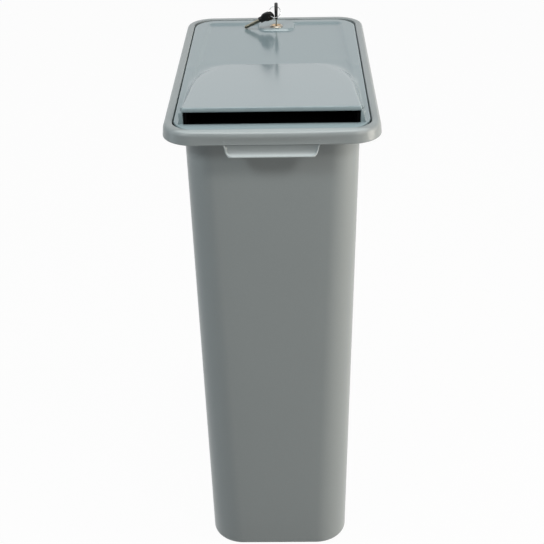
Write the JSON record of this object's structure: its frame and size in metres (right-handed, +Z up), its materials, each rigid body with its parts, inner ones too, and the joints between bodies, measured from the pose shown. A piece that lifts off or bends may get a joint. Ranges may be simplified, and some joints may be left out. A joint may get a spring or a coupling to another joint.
{
  "type": "secure shredding console",
  "caption": "Slim upright plastic bin with a sunk lid that hinges at its slot end, a hooded paper slot with a black chute, pull handles under the rim, a cam lock and keys on a ring.",
  "frame": {"origin": "centre of the object's base, on the floor", "axes": "+Z up; Y along the long horizontal side, with the paper slot at -Y and the lock at +Y; +X to the right seen from the slot end"},
  "size_m": [0.283, 0.5316, 0.7403],
  "materials": {
    "grey_plastic": "fine moulded grain, satin",
    "lid_plastic": "smooth moulded, semi-gloss",
    "black_plastic": "matte black",
    "key_head_plastic": "satin black",
    "plated_steel": "zinc plated, satin",
    "bright_chrome": "polished",
    "lock_brass": "turned",
    "spring_steel": "bright wire",
    "key_steel": "worn nickel plate"
  },
  "bodies": {
    "bin": {"bin_body": "grey_plastic", "hinge_rod": "plated_steel", "rod_caps": "plated_steel", "strike_plate": "plated_steel", "strike_rivets": "plated_steel"},
    "lid": {"lid_shell": "lid_plastic", "slot_chute": "black_plastic", "chute_screws": "plated_steel", "lock_housing": "bright_chrome", "lock_washer": "plated_steel", "lock_nut": "plated_steel"},
    "plug": {"lock_plug": "lock_brass", "lock_wafers": "lock_brass", "cam": "plated_steel", "cam_washer": "plated_steel", "cam_screw": "plated_steel"},
    "key": {"key_blade": "key_steel", "key_bow": "key_head_plastic"},
    "ring": {"key_ring": "spring_steel"},
    "spare_key": {"spare_key_blade": "key_steel", "spare_key_bow": "key_head_plastic"}
  },
  "joints": [
    {"name": "lid_hinge", "type": "hinge", "parent": "bin", "child": "lid", "pos_m": [0, -0.2295, 0.697], "axis": [1, 0, 0], "range_deg": [0, 70]},
    {"name": "lock_turn", "type": "hinge", "parent": "lid", "child": "plug", "pos_m": [0.0025, 0.204, 0.704], "axis": [0, 0, 1], "range_deg": [0, 90]},
    {"name": "key_pull", "type": "slide", "parent": "plug", "child": "key", "axis": [0, 0, 1], "range_m": [0, 0.025]},
    {"name": "ring_swing", "type": "hinge", "parent": "key", "child": "ring", "pos_m": [0.0025, 0.204, 0.7355], "axis": [-1, 0, 0], "range_deg": [0, 170]},
    {"name": "spare_key_swing", "type": "hinge", "parent": "ring", "child": "spare_key", "pos_m": [-0.00685, 0.19745, 0.72319], "axis": [-0.5736, 0.3846, 0.7233], "range_deg": [0, 45]}
  ]
}
